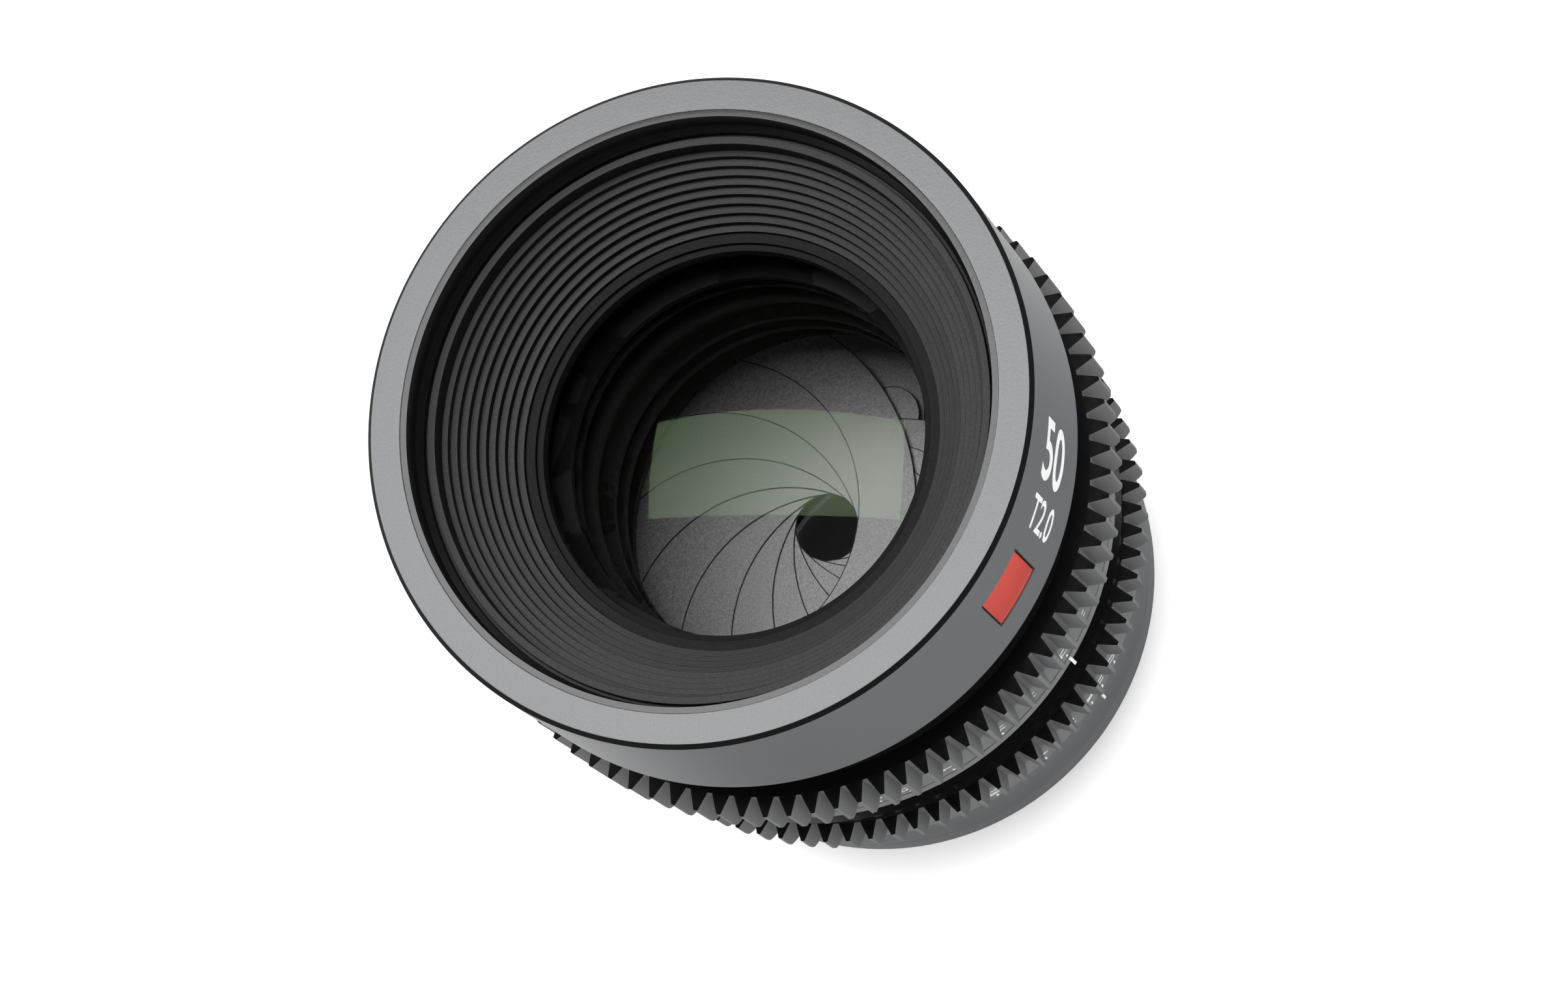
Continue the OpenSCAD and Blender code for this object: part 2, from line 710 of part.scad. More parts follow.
// The spiral slot that closes a blade evenly as the cam ring turns, seen at the rest setting
function cam_slot_outline() =
    let (
        steps = 12,
        half_w = follower_pin_r + running_gap + cam_side_gap,
        over = (follower_pin_r + slot_gap) / follower_r * 180 / PI,
        path = [for (s = [0 : steps])
            let (
                turn = closed_turn * s / steps,
                p = follower_at(turn),
                end = s == 0 ? -over : s == steps ? over : 0
            )
            [norm(p), atan2(p.y, p.x) + ring_per_blade * (turn - rest_turn) + end]]
    )
    concat(
        [for (p = path) from_polar([p.x + half_w, p.y])],
        [for (s = [steps : -1 : 0]) from_polar([path[s].x - half_w, path[s].y])]);

module iris_cam_ring() {
    color(brass) difference() {
        union() {
            tube(cam_bore_r - running_gap, cam_open_r, cam_z, cam_top_z);
            tube(cam_skirt_r, cam_skirt_r - skirt_t, cam_skirt_z, cam_z + eps);
        }
        for (i = [0 : blade_count - 1])
            rotate([0, 0, blade_azimuth(i)]) translate([0, 0, cam_z + cam_floor_t])
                linear_extrude(iris_plate_t) polygon(cam_slot_outline());
        radial_pin(iris_pin_r + seat_gap, cam_skirt_r - skirt_t - cut, cam_skirt_r + cut, iris_pin_z,
            drive_azimuth);
    }
}

module iris_drive_pin() {
    color(steel) radial_pin(iris_pin_r, cam_skirt_r - skirt_t + seat_gap,
        iris_tube_r + pin_blind - seat_gap, iris_pin_z, drive_azimuth);
}

module iris_ring() {
    color(gear_grey) difference() {
        gear_ring(iris_teeth, iris_ring_bore_r, iris_front_z, iris_tip_l, iris_scale_l, iris_scale_fall);
        radial_pin(iris_pin_r + seat_gap, iris_tube_r, iris_tube_r + pin_blind, iris_pin_z, drive_azimuth);
    }
}

// One iris blade at the rest setting, with its pivot pin in front and its follower pin behind
module iris_blade(i) {
    z = blade_base_z + (blade_count - 1 - i) * blade_pitch;
    tail = follower_angle + 1;
    tab_angle = 3;
    mid_r = (open_r + blade_outer_r) / 2;
    lap_r = blade_outer_r - tab_lap;
    follower_z = cam_z + cam_floor_t + follower_end_gap;
    color(blade_grey) rotate([0, 0, blade_azimuth(i)]) translate(pivot_point) rotate([0, 0, -rest_turn])
        translate(-pivot_point) {
            translate([0, 0, z]) {
                rotate([0, 0, -blade_arc]) rotate_extrude(angle = blade_arc + tail)
                    translate([open_r, 0]) square([blade_w, blade_t]);
                rotate([0, 0, -tab_angle]) rotate_extrude(angle = tab_angle + follower_angle)
                    translate([lap_r, 0]) square([follower_r - lap_r, blade_t]);
                rotate([0, 0, -tab_angle]) rotate_extrude(angle = 2 * tab_angle)
                    translate([lap_r, 0]) square([pivot_r - lap_r, blade_t]);
                rotate([0, 0, -blade_arc]) translate([mid_r, 0, 0]) cylinder(r = blade_w / 2, h = blade_t);
                translate(pivot_point) cylinder(r = pivot_tab_r, h = blade_t);
                translate(follower_open) cylinder(r = blade_tab_r, h = blade_t);
            }
            translate([pivot_r, 0, z])
                cylinder(r = pivot_pin_r, h = plate_top_z - pivot_end_gap - z, $fn = pin_facets);
            translate([follower_open.x, follower_open.y, follower_z])
                cylinder(r = follower_pin_r, h = z + blade_t - follower_z, $fn = pin_facets);
        }
}

module rear_cell() {
    color(black) difference() {
        turned([
            [rear_cell_r, rear_cell_front_z], [rear_cell_r, web_z], [rear_flange_r, web_z],
            [rear_flange_r, rear_flange_z], [rear_cell_r, rear_flange_z], [rear_cell_r, tube_rear_z],
            [rear_bore_r, tube_rear_z], [rear_bore_r, rear_seat_z - rear_web],
            [rear_clear_r, rear_seat_z - rear_web], [rear_clear_r, rear_seat_z], [rear_bore_r, rear_seat_z],
            [rear_bore_r, rear_cell_front_z]]);
        cell_screw_places() translate([0, 0, rear_flange_z - cut])
            cylinder(r = cell_screw_r + seat_gap, h = rear_flange_t + 2 * cut, $fn = pin_facets);
    }
}

module cell_screw_places() {
    for (i = [0 : cell_screw_count - 1]) rotate([0, 0, 360 * i / cell_screw_count])
        translate([cell_screw_pcr, 0, 0]) children();
}

module rear_cell_screws() {
    color(steel) cell_screw_places() {
        translate([0, 0, rear_flange_z])
            cylinder(r = cell_screw_r, h = web_top_z - screw_end_gap - rear_flange_z, $fn = pin_facets);
        translate([0, 0, rear_flange_z - cell_head_t])
            cylinder(r = cell_head_r, h = cell_head_t, $fn = pin_facets);
    }
}

module rear_inner_element() {
    ring_z = rear_cell_front_z - rear_ring_t;
    color(glass, 0.4) hollow_glass(rear_glass_r, rear_seat_z, ring_z, rear_inner_curve_r, rear_inner_hollow);
}

module rear_inner_ring() {
    color(black) tube(rear_glass_r, rear_clear_r, rear_cell_front_z - rear_ring_t, rear_cell_front_z);
}

module rear_outer_element() {
    seat_z = rear_seat_z - rear_web;
    ring_z = tube_rear_z + rear_ring_t;
    color(glass, 0.4) translate([0, 0, seat_z]) mirror([0, 0, 1])
        hollow_glass(rear_glass_r, 0, seat_z - ring_z, rear_outer_curve_r, rear_outer_hollow);
}

module rear_outer_ring() {
    color(black) tube(rear_glass_r, rear_clear_r, tube_rear_z, tube_rear_z + rear_ring_t);
}

module rear_barrel() {
    straight_z = rear_front_z - rear_straight_l;
    foot_l = 1;
    color(anodised) turned([
        [iris_tube_r + seat_gap, rear_front_z], [rear_r, rear_front_z], [rear_r, straight_z],
        [rear_foot_r, base_top_z + foot_l], [rear_foot_r, base_top_z], [rear_lip_r, base_top_z],
        [rear_lip_r, tube_rear_z], [iris_tube_r + seat_gap, tube_rear_z]]);
}

module mount_screw_places() {
    for (i = [0 : mount_screw_count - 1]) rotate([0, 0, mount_screw_angle + 360 * i / mount_screw_count])
        translate([mount_screw_pcr, 0, 0]) children();
}

module mount_base() {
    color(black) difference() {
        tube(rear_foot_r, spigot_out_r + base_bore_gap, flange_t, base_top_z);
        mount_screw_places() translate([0, 0, flange_t - cut])
            cylinder(r = mount_screw_r + seat_gap, h = base_t + 2 * cut, $fn = pin_facets);
    }
}

// Flange, spigot and lugs of the three-lug bayonet
module bayonet_plate() {
    spigot_in_r = spigot_out_r - spigot_wall;
    color(steel) difference() {
        union() {
            turned([
                [spigot_in_r, -spigot_l], [spigot_out_r, -spigot_l], [spigot_out_r, face_relief],
                [relief_r, face_relief], [relief_r, 0], [flange_r, 0], [flange_r, flange_t],
                [spigot_in_r, flange_t]]);
            for (i = [0 : lug_count - 1]) rotate([0, 0, 360 * i / lug_count])
                translate([0, 0, lug_rise - spigot_l]) rotate_extrude(angle = lug_angle)
                    translate([spigot_out_r - lug_root, 0]) square([lug_r - spigot_out_r + lug_root, lug_t]);
        }
        mount_screw_places() translate([0, 0, -cut]) {
            head_room = mount_head_sink + mount_head_t;
            cylinder(r = mount_screw_r + seat_gap, h = flange_t + 2 * cut, $fn = pin_facets);
            cylinder(r = mount_head_r + seat_gap, h = head_room + cut, $fn = pin_facets);
        }
        rotate([0, 0, lock_hole_angle]) translate([mount_screw_pcr, 0, -cut])
            cylinder(r = lock_hole_r, h = cut + lock_hole_depth, $fn = pin_facets);
    }
}

module mount_screws() {
    color(steel) mount_screw_places() translate([0, 0, mount_head_sink]) {
        cylinder(r = mount_head_r, h = mount_head_t, $fn = pin_facets);
        cylinder(r = mount_screw_r, h = base_top_z - screw_end_gap - mount_head_sink, $fn = pin_facets);
    }
}

module rear_baffle() {
    bottom = rear_baffle_rise - spigot_l;
    color(black) tube(spigot_out_r - spigot_wall - seat_gap, rear_baffle_clear_r, bottom,
        bottom + rear_baffle_t);
}

front_barrel();
filter_ring();
stepped_baffle();
front_retaining_ring();
front_element();
front_cell();
second_element();
second_retaining_ring();
badge_plate();
neck_ring();
main_barrel();
index_ring();
focus_ring();
focus_drive_pin();
helicoid_sleeve();
focus_cell();
focus_front_element();
focus_rear_element();
focus_front_ring();
focus_rear_ring();
guide_key();
iris_retainer();
iris_pivot_plate();
iris_cam_ring();
iris_drive_pin();
iris_ring();
rear_cell();
rear_cell_screws();
rear_inner_element();
rear_inner_ring();
rear_outer_element();
rear_outer_ring();
rear_barrel();
mount_base();
bayonet_plate();
mount_screws();
rear_baffle();
iris_blade(0);  // iris_blade_01
iris_blade(1);  // iris_blade_02
iris_blade(2);  // iris_blade_03
iris_blade(3);  // iris_blade_04
iris_blade(4);  // iris_blade_05
iris_blade(5);  // iris_blade_06
iris_blade(6);  // iris_blade_07
iris_blade(7);  // iris_blade_08
iris_blade(8);  // iris_blade_09
iris_blade(9);  // iris_blade_10
iris_blade(10);  // iris_blade_11
iris_blade(11);  // iris_blade_12
iris_blade(12);  // iris_blade_13
iris_blade(13);  // iris_blade_14
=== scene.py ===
import json
import math

import bmesh
import bpy
from mathutils import Matrix, Vector
from mathutils.bvhtree import BVHTree


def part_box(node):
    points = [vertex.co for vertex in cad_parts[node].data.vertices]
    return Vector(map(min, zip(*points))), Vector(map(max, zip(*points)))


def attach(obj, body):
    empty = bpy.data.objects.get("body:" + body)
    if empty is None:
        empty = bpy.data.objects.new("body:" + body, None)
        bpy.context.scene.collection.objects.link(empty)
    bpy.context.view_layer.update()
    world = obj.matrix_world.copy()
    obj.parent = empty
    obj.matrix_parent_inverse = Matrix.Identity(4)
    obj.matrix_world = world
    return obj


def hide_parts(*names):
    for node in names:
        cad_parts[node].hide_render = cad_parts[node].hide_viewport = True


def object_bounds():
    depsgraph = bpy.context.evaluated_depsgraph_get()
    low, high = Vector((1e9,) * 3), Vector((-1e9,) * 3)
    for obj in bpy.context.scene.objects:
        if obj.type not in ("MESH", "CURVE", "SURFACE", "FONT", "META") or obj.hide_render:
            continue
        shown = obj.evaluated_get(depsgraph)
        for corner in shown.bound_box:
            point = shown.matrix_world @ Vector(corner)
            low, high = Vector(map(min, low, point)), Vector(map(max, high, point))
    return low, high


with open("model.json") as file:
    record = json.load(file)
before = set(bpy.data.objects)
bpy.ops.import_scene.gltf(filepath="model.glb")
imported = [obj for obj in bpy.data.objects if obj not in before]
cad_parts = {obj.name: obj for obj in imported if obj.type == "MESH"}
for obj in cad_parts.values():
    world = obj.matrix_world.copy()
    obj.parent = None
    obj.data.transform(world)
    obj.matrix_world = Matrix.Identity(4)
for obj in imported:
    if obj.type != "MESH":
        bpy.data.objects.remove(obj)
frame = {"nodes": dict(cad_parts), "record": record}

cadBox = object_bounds()
nodes = frame["nodes"]
bodies = frame["record"]["behaviour"]["bodies"]
bodyOf = {node: body for body, members in bodies.items() for node in members}
scene = bpy.context.scene
scene.view_settings.view_transform = "Standard"
scene.cycles.transparent_max_bounces = 24  # the iris lies eight glass surfaces deep
mm = 0.001
hair = 1e-6  # points this close, in metres, count as one
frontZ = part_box("front_barrel")[1].z


# shader helpers

def addNode(tree, kind, **settings):
    made = tree.nodes.new(kind)
    for name, value in settings.items():
        setattr(made, name, value)
    return made


def feed(tree, socket, value):
    if isinstance(value, bpy.types.NodeSocket):
        tree.links.new(value, socket)
    else:
        socket.default_value = value


def calc(tree, operation, *values, clamp=False):
    made = addNode(tree, "ShaderNodeMath", operation=operation, use_clamp=clamp)
    for socket, value in zip(made.inputs, values):
        feed(tree, socket, value)
    return made.outputs[0]


def blendColours(tree, factor, low, high):
    made = addNode(tree, "ShaderNodeMix", data_type="RGBA")
    feed(tree, made.inputs[0], factor)
    feed(tree, made.inputs[6], low)
    feed(tree, made.inputs[7], high)
    return made.outputs[2]


def remap(tree, value, fromLow, fromHigh, toLow, toHigh):
    made = addNode(tree, "ShaderNodeMapRange")
    for socket, given in zip(made.inputs, (value, fromLow, fromHigh, toLow, toHigh)):
        feed(tree, socket, given)
    return made.outputs[0]


def grey(level, warmth=0.0):
    return (level * (1 + warmth), level, level * (1 - warmth), 1)


# node groups shared by the finishes

def newGroup(name, inputs, outputs):
    tree = bpy.data.node_groups.new(name, "ShaderNodeTree")
    for label, value in inputs.items():
        socket = tree.interface.new_socket(label, in_out="INPUT", socket_type="NodeSocketFloat")
        socket.default_value = value
    for label in outputs:
        tree.interface.new_socket(label, in_out="OUTPUT", socket_type="NodeSocketFloat")
    return tree, tree.nodes.new("NodeGroupInput").outputs, tree.nodes.new("NodeGroupOutput").inputs


def objectPlace(tree):
    return tree.nodes.new("ShaderNodeTexCoord").outputs["Object"]


def makeGrain():
    tree, given, result = newGroup("blastedGrain", {"Scale": 6000.0, "Contrast": 1.6}, ["Tone"])
    noise = addNode(tree, "ShaderNodeTexNoise")
    feed(tree, noise.inputs["Vector"], objectPlace(tree))
    feed(tree, noise.inputs["Scale"], given["Scale"])
    noise.inputs["Detail"].default_value = 2.0
    centred = calc(tree, "SUBTRACT", noise.outputs["Fac"], 0.5)
    stretched = calc(tree, "MULTIPLY_ADD", centred, given["Contrast"], 0.5, clamp=True)
    feed(tree, result["Tone"], stretched)
    return tree


def makeTurning():
    tree, given, result = newGroup("turningLines", {"Scale": 9000.0}, ["Tone"])
    place = addNode(tree, "ShaderNodeSeparateXYZ")
    feed(tree, place.inputs[0], objectPlace(tree))
    square = calc(tree, "ADD", calc(tree, "POWER", place.outputs["X"], 2.0),
                  calc(tree, "POWER", place.outputs["Y"], 2.0))
    across = calc(tree, "ADD", calc(tree, "SQRT", square), place.outputs["Z"])
    lines = addNode(tree, "ShaderNodeTexNoise", noise_dimensions="1D")
    feed(tree, lines.inputs["W"], across)
    feed(tree, lines.inputs["Scale"], given["Scale"])
    lines.inputs["Detail"].default_value = 1.0
    feed(tree, result["Tone"], lines.outputs["Fac"])
    return tree


def makeRub():
    tree, given, result = newGroup("edgeRub", {"Width": 0.0002, "Gain": 2.0, "Break": 900.0}, ["Mask"])
    rounded = addNode(tree, "ShaderNodeBevel", samples=4)
    feed(tree, rounded.inputs["Radius"], given["Width"])
    flat = tree.nodes.new("ShaderNodeNewGeometry").outputs["Normal"]
    dot = addNode(tree, "ShaderNodeVectorMath", operation="DOT_PRODUCT")
    feed(tree, dot.inputs[0], rounded.outputs[0])
    feed(tree, dot.inputs[1], flat)
    bent = calc(tree, "SUBTRACT", 1.0, dot.outputs["Value"])
    patches = addNode(tree, "ShaderNodeTexNoise")
    feed(tree, patches.inputs["Vector"], objectPlace(tree))
    feed(tree, patches.inputs["Scale"], given["Break"])
    worn = calc(tree, "MULTIPLY", calc(tree, "MULTIPLY", bent, given["Gain"]), patches.outputs["Fac"])
    feed(tree, result["Mask"], calc(tree, "MINIMUM", worn, 1.0))
    return tree


def makeDust():
    tree, given, result = newGroup("dustSpecks", {"Scale": 700.0, "Cover": 0.06}, ["Mask"])
    cells = addNode(tree, "ShaderNodeTexVoronoi")
    feed(tree, cells.inputs["Vector"], objectPlace(tree))
    feed(tree, cells.inputs["Scale"], given["Scale"])
    feed(tree, result["Mask"], calc(tree, "LESS_THAN", cells.outputs["Distance"], given["Cover"]))
    return tree


grainGroup = makeGrain()
turningGroup = makeTurning()
rubGroup = makeRub()
dustGroup = makeDust()


def useGroup(tree, group, output, **values):
    made = addNode(tree, "ShaderNodeGroup", node_tree=group)
    for label, value in values.items():
        made.inputs[label].default_value = value
    return made.outputs[output]


# finishes

def startFinish(name):
    material = bpy.data.materials.new(name)
    material.use_nodes = True
    tree = material.node_tree
    return material, tree, tree.nodes["Principled BSDF"]


def raiseRelief(tree, shader, height, strength, distance):
    bump = addNode(tree, "ShaderNodeBump")
    bump.inputs["Strength"].default_value = strength
    bump.inputs["Distance"].default_value = distance
    feed(tree, bump.inputs["Height"], height)
    feed(tree, shader.inputs["Normal"], bump.outputs[0])


def metalFinish(name, look):
    material, tree, shader = startFinish(name)
    grain = useGroup(tree, grainGroup, "Tone", Scale=look["grain"], Contrast=look["contrast"])
    turning = useGroup(tree, turningGroup, "Tone", Scale=look["turning"])
    colour = blendColours(tree, grain, look["dark"], look["light"])
    rub = useGroup(tree, rubGroup, "Mask", Width=look["rubWidth"], Gain=look["rub"])
    colour = blendColours(tree, rub, colour, look["bare"])
    dust = useGroup(tree, dustGroup, "Mask", Scale=look["dustScale"], Cover=look["dust"])
    colour = blendColours(tree, calc(tree, "MULTIPLY", dust, look["dustShare"]), colour, look["dustTone"])
    feed(tree, shader.inputs["Base Color"], colour)
    rough = remap(tree, grain, 0.0, 1.0, look["rough"][0], look["rough"][1])
    feed(tree, shader.inputs["Roughness"], calc(tree, "MULTIPLY_ADD", dust, look["dustRough"], rough))
    shader.inputs["Metallic"].default_value = look["metal"]
    shader.inputs["Specular IOR Level"].default_value = look["shine"]
    shader.inputs["Coat Weight"].default_value = look["coat"]
    shader.inputs["Coat Roughness"].default_value = look["coatRough"]
    height = calc(tree, "MULTIPLY_ADD", turning, look["lineShare"], grain)
    raiseRelief(tree, shader, height, look["bump"], look["relief"])
    return material


# dark and light are the two tones of the grain, bare shows on rubbed edges, lengths are in metres
plainLook = {
    "dark": grey(0.1), "light": grey(0.13), "bare": grey(0.4),
    "rough": (0.4, 0.5), "metal": 0.5, "shine": 0.5, "coat": 0.0, "coatRough": 0.12,
    "grain": 6000.0, "contrast": 1.6, "turning": 9000.0, "lineShare": 0.3, "bump": 0.25, "relief": 0.00004,
    "rubWidth": 0.0002, "rub": 0.6,
    "dustScale": 260.0, "dust": 0.012, "dustShare": 0.5, "dustTone": grey(0.45), "dustRough": 0.2,
}
anodisedLook = plainLook | {
    "dark": grey(0.16, -0.03), "light": grey(0.225, -0.03), "rough": (0.3, 0.38), "metal": 0.06,
    "grain": 5200.0, "contrast": 1.3, "lineShare": 0.0, "bump": 0.3, "rub": 0.3,
}
gearLook = plainLook | {
    "dark": grey(0.2, -0.01), "light": grey(0.26, -0.01), "metal": 0.0, "grain": 7000.0, "bump": 0.15,
    "rub": 0.3, "rubWidth": 0.00012, "bare": grey(0.5),
}
blackLook = plainLook | {
    "dark": grey(0.004), "light": grey(0.007), "rough": (0.16, 0.24), "metal": 0.0,
    "grain": 4000.0, "lineShare": 1.0, "bump": 0.05, "rub": 0.25, "bare": grey(0.1),
}
innerLook = blackLook | {"rough": (0.5, 0.65), "shine": 0.2}
brassLook = plainLook | {
    "dark": (0.4, 0.27, 0.09, 1), "light": (0.52, 0.37, 0.15, 1), "bare": (0.7, 0.55, 0.28, 1),
    "metal": 1.0, "rough": (0.25, 0.35), "lineShare": 1.5, "bump": 0.3,
}
steelLook = plainLook | {
    "dark": grey(0.45), "light": grey(0.58), "bare": grey(0.75), "metal": 1.0, "rough": (0.24, 0.34),
    "lineShare": 1.6, "bump": 0.3,
}
badgeLook = plainLook | {
    "dark": (0.66, 0.085, 0.065, 1), "light": (0.76, 0.11, 0.085, 1), "bare": (0.7, 0.3, 0.26, 1),
    "metal": 0.0, "coat": 0.4, "rough": (0.3, 0.4), "grain": 2500.0, "lineShare": 0.0, "bump": 0.1,
}


# how far a surface looks forward, from -1 to 1
def forwardness(tree):
    normal = addNode(tree, "ShaderNodeSeparateXYZ")
    feed(tree, normal.inputs[0], tree.nodes.new("ShaderNodeNewGeometry").outputs["Normal"])
    return normal.outputs["Z"]


# matt black paint with painted shade: the risers are painted darker than the treads, by how far each face
# looks forward
baffleLook = {
    "tread": (grey(0.017), grey(0.034)), "paintedRiserShade": grey(0.008), "level": (0.3, 0.9), "rough": (0.5, 0.68),
    "grain": 5200.0, "contrast": 2.2, "turning": 7000.0, "bump": 0.35, "relief": 0.00004,
}


def baffleFinish():
    material, tree, shader = startFinish("baffleMattPaintedShade")
    grain = useGroup(tree, grainGroup, "Tone", Scale=baffleLook["grain"], Contrast=baffleLook["contrast"])
    turning = useGroup(tree, turningGroup, "Tone", Scale=baffleLook["turning"])
    # painted shade: faces that look sideways take the dark riser colour
    upwardOutOfShade = remap(tree, forwardness(tree), *baffleLook["level"], 0.0, 1.0)
    tread = blendColours(tree, grain, *baffleLook["tread"])
    feed(tree, shader.inputs["Base Color"], blendColours(tree, upwardOutOfShade, baffleLook["paintedRiserShade"], tread))
    feed(tree, shader.inputs["Roughness"], remap(tree, grain, 0.0, 1.0, *baffleLook["rough"]))
    height = calc(tree, "ADD", grain, turning)
    raiseRelief(tree, shader, height, baffleLook["bump"], baffleLook["relief"])
    return material


# satin blades, with painted shade (the edge colour) on their thin sides
bladeLook = {
    "dark": grey(0.13), "light": grey(0.25), "edge": grey(0.006), "flat": 0.6, "rough": (0.36, 0.5),
    "metal": 0.6, "grain": 5200.0, "contrast": 2.4, "bump": 0.3, "relief": 0.00003,
}


def bladeFinish():
    material, tree, shader = startFinish("bladeSatin")
    grain = useGroup(tree, grainGroup, "Tone", Scale=bladeLook["grain"], Contrast=bladeLook["contrast"])
    # painted shade: faces that lean far from flat take the dark edge colour
    paintedSideShade = calc(tree, "LESS_THAN", calc(tree, "ABSOLUTE", forwardness(tree)), bladeLook["flat"])
    satin = blendColours(tree, grain, bladeLook["dark"], bladeLook["light"])
    feed(tree, shader.inputs["Base Color"], blendColours(tree, paintedSideShade, satin, bladeLook["edge"]))
    feed(tree, shader.inputs["Roughness"], remap(tree, grain, 0.0, 1.0, *bladeLook["rough"]))
    shader.inputs["Metallic"].default_value = bladeLook["metal"]
    raiseRelief(tree, shader, grain, bladeLook["bump"], bladeLook["relief"])
    return material


# clear glass: a tinted mirror film over nothing, stronger at a glance
glassLook = {
    "clear": grey(0.985), "facing": 0.04, "power": 5.0, "rough": 0.015,
    "dustScale": 420.0, "dust": 0.01, "dustRough": 0.3,
}
# the colour of each coating and the share of light that it sends back at a glance
frontCoating = {"tint": (0.7, 0.98, 0.55, 1), "share": 0.3}
innerCoating = {"tint": (0.95, 0.72, 0.82, 1), "share": 0.008}


def glassFinish(name, tint, share):
    material, tree, shader = startFinish(name)
    dust = useGroup(tree, dustGroup, "Mask", Scale=glassLook["dustScale"], Cover=glassLook["dust"])
    rough = calc(tree, "MULTIPLY_ADD", dust, glassLook["dustRough"], glassLook["rough"])
    feed(tree, shader.inputs["Roughness"], rough)
    shader.inputs["Base Color"].default_value = tint
    shader.inputs["Metallic"].default_value = 1.0
    through = addNode(tree, "ShaderNodeBsdfTransparent")
    through.inputs["Color"].default_value = glassLook["clear"]
    facing = addNode(tree, "ShaderNodeLayerWeight")
    glancing = calc(tree, "POWER", facing.outputs["Facing"], glassLook["power"])
    least = glassLook["facing"] * share
    mirror = calc(tree, "MULTIPLY_ADD", glancing, share - least, least)
    back = addNode(tree, "ShaderNodeNewGeometry").outputs["Backfacing"]
    joined = addNode(tree, "ShaderNodeMixShader")
    feed(tree, joined.inputs[0], calc(tree, "MULTIPLY", mirror, calc(tree, "SUBTRACT", 1.0, back)))
    feed(tree, joined.inputs[1], through.outputs[0])
    feed(tree, joined.inputs[2], shader.outputs[0])
    feed(tree, tree.nodes["Material Output"].inputs["Surface"], joined.outputs[0])
    return material


printLook = {"dark": grey(0.9), "light": grey(1.0), "rough": (0.45, 0.6), "grain": 9000.0, "contrast": 1.5}


def printFinish():
    material, tree, shader = startFinish("whitePrint")
    grain = useGroup(tree, grainGroup, "Tone", Scale=printLook["grain"], Contrast=printLook["contrast"])
    feed(tree, shader.inputs["Base Color"], blendColours(tree, grain, printLook["dark"], printLook["light"]))
    feed(tree, shader.inputs["Roughness"], remap(tree, grain, 0.0, 1.0, *printLook["rough"]))
    return material


finishes = {
    "anodised": metalFinish("anodisedGrey", anodisedLook),
    "gear": metalFinish("gearGrey", gearLook),
    "black": metalFinish("glossBlack", blackLook),
    "inner": metalFinish("innerBlack", innerLook),
    "baffle": baffleFinish(),
    "glass": glassFinish("frontGlass", **frontCoating),
    "innerGlass": glassFinish("innerGlass", **innerCoating),
    "brass": metalFinish("turnedBrass", brassLook),
    "steel": metalFinish("turnedSteel", steelLook),
    "blade": bladeFinish(),
    "bladeRimPaintedShadow": metalFinish("bladeRimPaintedShadow", innerLook),
    "badge": metalFinish("redEnamel", badgeLook),
    "print": printFinish(),
}
print("finishes:", len(finishes))


# CAD nodes keep their meshes and take the finish of their slot
slotNodes = {
    "anodised": ["front_barrel", "rear_barrel", "mount_base"],
    "gear": ["focus_ring", "iris_ring"],
    "black": ["filter_ring", "neck_ring", "index_ring"],
    "inner": ["front_retaining_ring", "front_cell", "second_retaining_ring", "main_barrel", "focus_cell",
              "focus_front_ring", "focus_rear_ring", "iris_retainer", "iris_pivot_plate", "rear_cell",
              "rear_inner_ring", "rear_outer_ring", "rear_baffle"],
    "baffle": ["stepped_baffle"],
    "glass": ["front_element", "rear_outer_element"],
    "innerGlass": ["second_element", "focus_front_element", "focus_rear_element", "rear_inner_element"],
    "brass": ["helicoid_sleeve", "iris_cam_ring"],
    "steel": ["focus_drive_pin", "guide_key", "iris_drive_pin", "rear_cell_screws", "bayonet_plate",
              "mount_screws"],
    "blade": [name for name in nodes if name.startswith("iris_blade_")],
    "badge": ["badge_plate"],
}
# the finish slot of each listed node
finishOf = {name: slot for slot, names in slotNodes.items() for name in names}
for name, slot in finishOf.items():
    nodes[name].data.materials.clear()
    nodes[name].data.materials.append(finishes[slot])


# mesh helpers

# in degrees: folds that shade sharp, folds that get a bevel, and bends too slight to be a corner
crisp = {"shading": 35.0, "broken": 25.0, "straight": 0.6}


def keepPiece(name, bm, slot, body, replaced=()):
    mesh = bpy.data.meshes.new(name)
    bm.to_mesh(mesh)
    bm.free()
    for face in mesh.polygons:
        face.use_smooth = True
    mesh.set_sharp_from_angle(angle=math.radians(crisp["shading"]))
    mesh.materials.append(finishes[slot])
    piece = bpy.data.objects.new(name, mesh)
    scene.collection.objects.link(piece)
    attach(piece, body)
    if replaced:
        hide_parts(*replaced)
    return piece


def copyOf(node):
    bm = bmesh.new()
    bm.from_mesh(nodes[node].data)
    bmesh.ops.remove_doubles(bm, verts=bm.verts, dist=hair)
    return bm


# the outline of a turned node, cut by the half plane y = 0, x > 0
def sectionOf(node):
    bm = copyOf(node)
    whole = bm.verts[:] + bm.edges[:] + bm.faces[:]
    cut = bmesh.ops.bisect_plane(bm, geom=whole, dist=hair, plane_co=(0, 0, 0), plane_no=(0, 1, 0))
    seam = {part for part in cut["geom_cut"] if isinstance(part, bmesh.types.BMEdge)}
    spare = [edge for edge in bm.edges if edge not in seam or min(v.co.x for v in edge.verts) <= 0]
    bmesh.ops.delete(bm, geom=spare, context="EDGES")
    bmesh.ops.delete(bm, geom=[v for v in bm.verts if not v.link_edges], context="VERTS")
    bmesh.ops.remove_doubles(bm, verts=bm.verts, dist=2 * hair)
    straight = []
    for vert in bm.verts:
        ways = [edge.other_vert(vert).co - vert.co for edge in vert.link_edges]
        if len(ways) == 2 and ways[0].angle(-ways[1]) < math.radians(crisp["straight"]):
            straight.append(vert)
    bmesh.ops.dissolve_verts(bm, verts=straight)
    return bm


